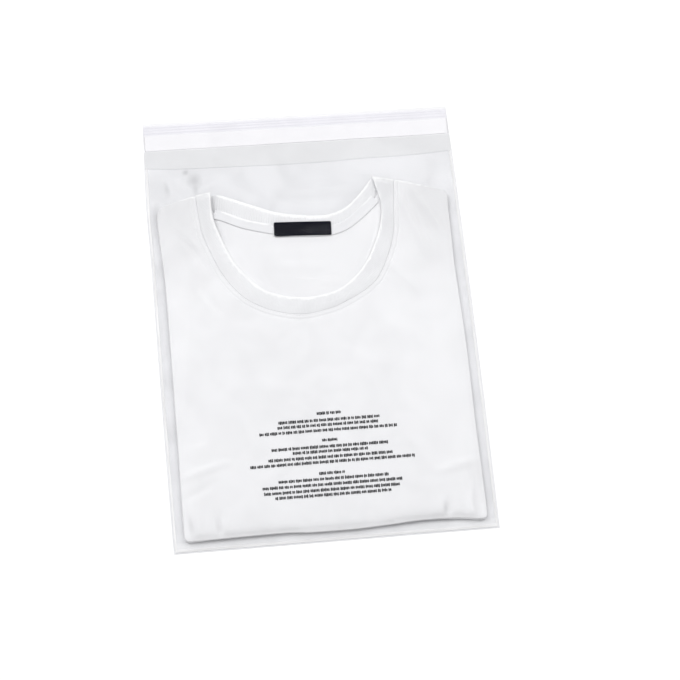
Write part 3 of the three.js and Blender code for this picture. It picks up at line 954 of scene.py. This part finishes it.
def knit(name, colour, spread, wale, course, depth, rough=0.92, painted_shade=()):
    """Fine knit: rows of small loops with a little slub."""
    m, nt, b = material(name)
    L = nt.links.new
    v = coords(nt)
    w1 = tex(nt, "ShaderNodeTexWave", wave_type="BANDS", bands_direction="X", wave_profile="SIN", Scale=wale, Distortion=1.2, Detail=1.0)
    w2 = tex(nt, "ShaderNodeTexWave", wave_type="BANDS", bands_direction="Y", wave_profile="SIN", Scale=course, Distortion=1.6, Detail=1.0)
    for w in (w1, w2):
        w.inputs["Detail Scale"].default_value = 1.5
        L(v, w.inputs["Vector"])
    mul = nt.nodes.new("ShaderNodeMath")
    mul.operation = "MULTIPLY"
    L(w1.outputs["Fac"], mul.inputs[0])
    L(w2.outputs["Fac"], mul.inputs[1])
    slub = tex(nt, "ShaderNodeTexNoise", Scale=240.0, Detail=4.0, Roughness=0.6)
    L(v, slub.inputs["Vector"])
    add = nt.nodes.new("ShaderNodeMath")
    add.operation = "ADD"
    L(mul.outputs[0], add.inputs[0])
    L(slub.outputs["Fac"], add.inputs[1])
    bump = tex(nt, "ShaderNodeBump", Strength=0.35, Distance=depth)
    L(add.outputs[0], bump.inputs["Height"])
    L(bump.outputs["Normal"], b.inputs["Normal"])
    cloud = tex(nt, "ShaderNodeTexNoise", Scale=26.0, Detail=5.0, Roughness=0.62)
    L(v, cloud.inputs["Vector"])
    lo = tuple(c * (1 - spread) for c in colour)
    r = ramp(nt, cloud.outputs["Fac"], [(0.30, lo), (0.70, colour)])
    tone = r.outputs["Color"]
    # painted shade: the colour is dimmed in the given soft oval spots
    if painted_shade:
        less = nt.nodes.new("ShaderNodeMath")
        less.operation = "SUBTRACT"
        less.inputs[0].default_value = 1.0
        L(spots(nt, painted_shade), less.inputs[1])
        dim = nt.nodes.new("ShaderNodeVectorMath")
        dim.operation = "SCALE"
        L(tone, dim.inputs[0])
        L(less.outputs[0], dim.inputs["Scale"])
        tone = dim.outputs["Vector"]
    L(tone, b.inputs["Base Color"])
    b.inputs["Roughness"].default_value = rough
    b.inputs["Specular IOR Level"].default_value = 0.2
    b.inputs["Sheen Weight"].default_value = 0.15
    b.inputs["Sheen Roughness"].default_value = 0.5
    return m


# painted shade: the cloth's colour is dimmed over the shoulders, and the rib band's colour over its two ends
jersey = knit("jersey_knit", (0.922, 0.922, 0.929), 0.025, 520, 640, 0.00012, painted_shade=[(-118, 122, 60, 100, 0, 0.135), (116, 120, 60, 95, 0, 0.135)])
ribknit = knit("rib_knit", (0.884, 0.886, 0.894), 0.04, 700, 900, 0.00010, painted_shade=[(-93, 120, 30, 62, 0, 0.075), (77, 122, 30, 62, 0, 0.075)])
twill = knit("tape_twill", (0.872, 0.874, 0.884), 0.03, 600, 420, 0.00014)
thread_m = knit("sewing_thread", (0.93, 0.93, 0.94), 0.05, 1500, 1500, 0.00005, 0.7)

woven, nt, b = material("label_weave")
v = coords(nt)
w1 = tex(nt, "ShaderNodeTexWave", wave_type="BANDS", bands_direction="Y", Scale=700.0, Distortion=0.6)
nt.links.new(v, w1.inputs["Vector"])
r = ramp(nt, w1.outputs["Fac"], [(0.0, (0.0035, 0.004, 0.008)), (1.0, (0.007, 0.008, 0.015))])
nt.links.new(r.outputs["Color"], b.inputs["Base Color"])
bp = tex(nt, "ShaderNodeBump", Strength=0.4, Distance=0.0001)
nt.links.new(w1.outputs["Fac"], bp.inputs["Height"])
nt.links.new(bp.outputs["Normal"], b.inputs["Normal"])
b.inputs["Roughness"].default_value = 0.75
b.inputs["Specular IOR Level"].default_value = 0.06


def clear_film(name, through, haze, ior, rough, haze_colour=(0.95, 0.95, 0.97), edge=(0.97, 0.86), mottle=0.012, painted_pucker_shade=()):
    """Thin clear film: what is behind shows through it, slightly dimmed, with a gloss on top and a trace of haze.
    painted_pucker_shade: painted shade, soft oval spots where the film's tint is darker, at its puckers."""
    m, nt, b = material(name)
    L = nt.links.new
    out = nt.nodes["Material Output"]
    nt.nodes.remove(b)
    v = coords(nt)
    streak = tex(nt, "ShaderNodeTexNoise", Scale=34.0, Detail=3.0, Roughness=0.5)
    L(v, streak.inputs["Vector"])
    bump = tex(nt, "ShaderNodeBump", Strength=0.10, Distance=0.0006)
    L(streak.outputs["Fac"], bump.inputs["Height"])
    tr = nt.nodes.new("ShaderNodeBsdfTransparent")
    # the steeper the film stands, the more of it is looked through
    lw = tex(nt, "ShaderNodeLayerWeight", Blend=0.5)
    steep = ramp(nt, lw.outputs["Facing"], [(0.48, through), (0.78, tuple(c * edge[0] for c in through)), (1.0, tuple(c * edge[1] for c in through))])
    patch = tex(nt, "ShaderNodeTexNoise", Scale=21.0, Detail=3.0, Roughness=0.55, Distortion=1.5)
    L(v, patch.inputs["Vector"])
    tone = ramp(nt, patch.outputs["Fac"], [(0.32, (1 - mottle,) * 3), (0.62, (1.0, 1.0, 1.0))])
    both = nt.nodes.new("ShaderNodeVectorMath")
    both.operation = "MULTIPLY"
    L(steep.outputs["Color"], both.inputs[0])
    L(tone.outputs["Color"], both.inputs[1])
    tint = both.outputs["Vector"]
    # painted shade: the film's tint is darkened in the given oval spots
    if painted_pucker_shade:
        less = nt.nodes.new("ShaderNodeMath")
        less.operation = "SUBTRACT"
        less.inputs[0].default_value = 1.0
        L(spots(nt, painted_pucker_shade), less.inputs[1])
        dim = nt.nodes.new("ShaderNodeVectorMath")
        dim.operation = "SCALE"
        L(tint, dim.inputs[0])
        L(less.outputs[0], dim.inputs["Scale"])
        tint = dim.outputs["Vector"]
    L(tint, tr.inputs["Color"])
    df = nt.nodes.new("ShaderNodeBsdfDiffuse")
    df.inputs["Color"].default_value = (*haze_colour, 1)
    gl = nt.nodes.new("ShaderNodeBsdfGlossy")
    gl.inputs["Color"].default_value = (1, 1, 1, 1)
    gl.inputs["Roughness"].default_value = rough
    L(bump.outputs["Normal"], gl.inputs["Normal"])
    hz = nt.nodes.new("ShaderNodeMixShader")
    fog = tex(nt, "ShaderNodeTexNoise", Scale=18.0, Detail=2.0)
    L(v, fog.inputs["Vector"])
    rg = ramp(nt, fog.outputs["Fac"], [(0.3, (haze * 0.7,) * 3), (0.75, (haze * 1.3,) * 3)])
    L(rg.outputs["Color"], hz.inputs["Fac"])
    L(tr.outputs[0], hz.inputs[1])
    L(df.outputs[0], hz.inputs[2])
    fr = nt.nodes.new("ShaderNodeFresnel")
    fr.inputs["IOR"].default_value = ior
    L(bump.outputs["Normal"], fr.inputs["Normal"])
    mx = nt.nodes.new("ShaderNodeMixShader")
    geo = nt.nodes.new("ShaderNodeNewGeometry")
    outer_face = nt.nodes.new("ShaderNodeMath")
    outer_face.operation = "SUBTRACT"
    outer_face.inputs[0].default_value = 1.0
    L(geo.outputs["Backfacing"], outer_face.inputs[1])
    gloss = nt.nodes.new("ShaderNodeMath")
    gloss.operation = "MULTIPLY"
    L(fr.outputs[0], gloss.inputs[0])
    L(outer_face.outputs[0], gloss.inputs[1])
    L(gloss.outputs[0], mx.inputs["Fac"])
    L(hz.outputs[0], mx.inputs[1])
    L(gl.outputs[0], mx.inputs[2])
    L(mx.outputs[0], out.inputs["Surface"])
    return m


# painted shade at the film's puckers, over the left shoulder and along the bottom fold: spots where the film's tint is
# darker
PAINTED_PUCKER_SHADE = [(-104.4, 149.8, 4.2, 3.8, 0, 0.034), (-97.0, 140.5, 8.5, 9.5, 0, 0.034), (-96.6, 131.0, 3.6, 7.0, 0, 0.022),
           (-122.5, 134.0, 3.6, 10.0, 8, 0.024), (-134.0, 110.0, 5.0, 15.0, -14, 0.02),
           (-100.5, -180.0, 3.4, 9.0, 6, 0.035), (-124.0, -178.0, 3.0, 10.0, 4, 0.03), (94.5, -180.0, 3.6, 8.0, -8, 0.045), (120.0, -172.0, 3.0, 14.0, -3, 0.025)]
film_m = clear_film("clear_film", (0.9675, 0.968, 0.9715), 0.0015, 1.16, 0.07, (0.99, 0.99, 0.995), painted_pucker_shade=PAINTED_PUCKER_SHADE)
# painted light: the film on the bottom margin lets more through, which lifts the shirt's shadow there
painted_light_bottom_m = clear_film("bottom_film_painted_light", (0.981, 0.9815, 0.9835), 0.004, 1.16, 0.08, (0.99, 0.99, 0.995))
lip_m = clear_film("lip_film", (0.922, 0.923, 0.928), 0.002, 1.16, 0.08)
weld_m = clear_film("welded_film", (0.994, 0.994, 0.995), 0.72, 1.25, 0.25, (0.91, 0.91, 0.916), (1.0, 1.0), 0.0)
edge_m = clear_film("cut_edge_film", (0.969, 0.9695, 0.973), 0.01, 1.2, 0.2, (0.9, 0.9, 0.91), (1.0, 1.0), 0.0)
liner_m = clear_film("liner_film", (0.985, 0.983, 0.990), 0.08, 1.25, 0.2, (0.96, 0.955, 0.985), (1.0, 1.0), 0.004)
liner_line_m = clear_film("liner_pressed_line", (0.962, 0.959, 0.972), 0.08, 1.25, 0.2, (0.9, 0.895, 0.94), (1.0, 1.0), 0.0)

glue_m, nt, b = material("white_adhesive")
v = coords(nt)
n1 = tex(nt, "ShaderNodeTexNoise", Scale=60.0, Detail=4.0)
nt.links.new(v, n1.inputs["Vector"])
r = ramp(nt, n1.outputs["Fac"], [(0.3, (0.83, 0.832, 0.83)), (0.7, (0.855, 0.857, 0.852))])
nt.links.new(r.outputs["Color"], b.inputs["Base Color"])
b.inputs["Roughness"].default_value = 0.6

ink_m, nt, b = material("black_ink")
v = coords(nt)
n1 = tex(nt, "ShaderNodeTexNoise", Scale=900.0, Detail=3.0)
nt.links.new(v, n1.inputs["Vector"])
r = ramp(nt, n1.outputs["Fac"], [(0.3, (0.012, 0.012, 0.014)), (0.75, (0.05, 0.05, 0.055))])
nt.links.new(r.outputs["Color"], b.inputs["Base Color"])
b.inputs["Roughness"].default_value = 0.5
b.inputs["Specular IOR Level"].default_value = 0.1

for o, m in ((shirt, jersey), (seam_thread, thread_m), (rib, ribknit), (tape, twill), (label, woven), (adhesive, glue_m), (liner, liner_m), (print_rules, ink_m)):
    o.data.materials.append(m)
liner.data.materials.append(liner_line_m)
cy = np.array([sum(liner.data.vertices[i].co.y for i in p.vertices) / len(p.vertices) for p in liner.data.polygons]) / MM - LINER_Y0
liner.data.polygons.foreach_set("material_index", np.any([np.abs(cy - l) < 0.5 for l in LINER_LINES], axis=0).astype(np.int32))
film.data.materials.append(film_m)
film.data.materials.append(weld_m)
film.data.materials.append(lip_m)
film.data.materials.append(edge_m)
film.data.materials.append(painted_light_bottom_m)
film.data.polygons.foreach_set("material_index", np.array(weld_faces, dtype=np.int32))

# ---------------------------------------------------------------- bodies, nodes
for o, node, slot in ((film, "bag_film", "film"), (adhesive, "adhesive_strip", "adhesive"), (liner, "release_liner", "liner"), (shirt, "shirt_body", "jersey"),
                      (rib, "neck_rib", "rib"), (tape, "neck_tape", "tape"), (label, "neck_label", "label"), (seam_thread, None, "jersey"), (print_rules, None, "film")):
    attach(o, "root")
    if node:
        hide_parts(node)

# ---------------------------------------------------------------- floor, light, camera
bpy.ops.mesh.primitive_plane_add(size=8, location=(0, 0, -0.00002))
floor = bpy.context.object
floor.name = "floor"
fm, nt, b = material("pale_floor")
b.inputs["Base Color"].default_value = (0.96, 0.96, 0.96, 1)
b.inputs["Roughness"].default_value = 0.9
b.inputs["Specular IOR Level"].default_value = 0.0
floor.data.materials.append(fm)

world = bpy.data.worlds.new("studio")
scene.world = world
world.use_nodes = True
world.node_tree.nodes["Background"].inputs["Color"].default_value = (1, 1, 1, 1)
world.node_tree.nodes["Background"].inputs["Strength"].default_value = 0.57


def area(name, loc, target, size, power, size_y=None):
    d = bpy.data.lights.new(name, "AREA")
    d.shape = "RECTANGLE"
    d.size, d.size_y = size, size_y or size
    d.energy = power
    o = bpy.data.objects.new(name, d)
    scene.collection.objects.link(o)
    o.location = loc
    o.rotation_euler = (Vector(target) - Vector(loc)).to_track_quat("-Z", "Y").to_euler()
    return o


area("left_box", (-1.6, 1.25, 3.0), (0, 0, 0), 2.2, 53)
area("right_box", (1.6, 1.25, 3.0), (0, 0, 0), 2.2, 43)
area("glint", (-0.9, 1.5, 1.9), (0, 0, 0), 0.3, 3.8)

cam = bpy.data.cameras.new("camera")
cam.sensor_width = 36.0
cam.lens = 1900.0 * 36.0 / 680.0
cam.clip_start = 0.05
cam_o = bpy.data.objects.new("camera", cam)
scene.collection.objects.link(cam_o)
cam_o.location = (-0.1481459, -0.5425052, 1.5871852)
cam_o.rotation_euler = (math.radians(18.64026), math.radians(-4.13275), math.radians(-5.72683))
scene.camera = cam_o
scene.view_settings.view_transform = "Standard"
scene.cycles.transparent_max_bounces = 32
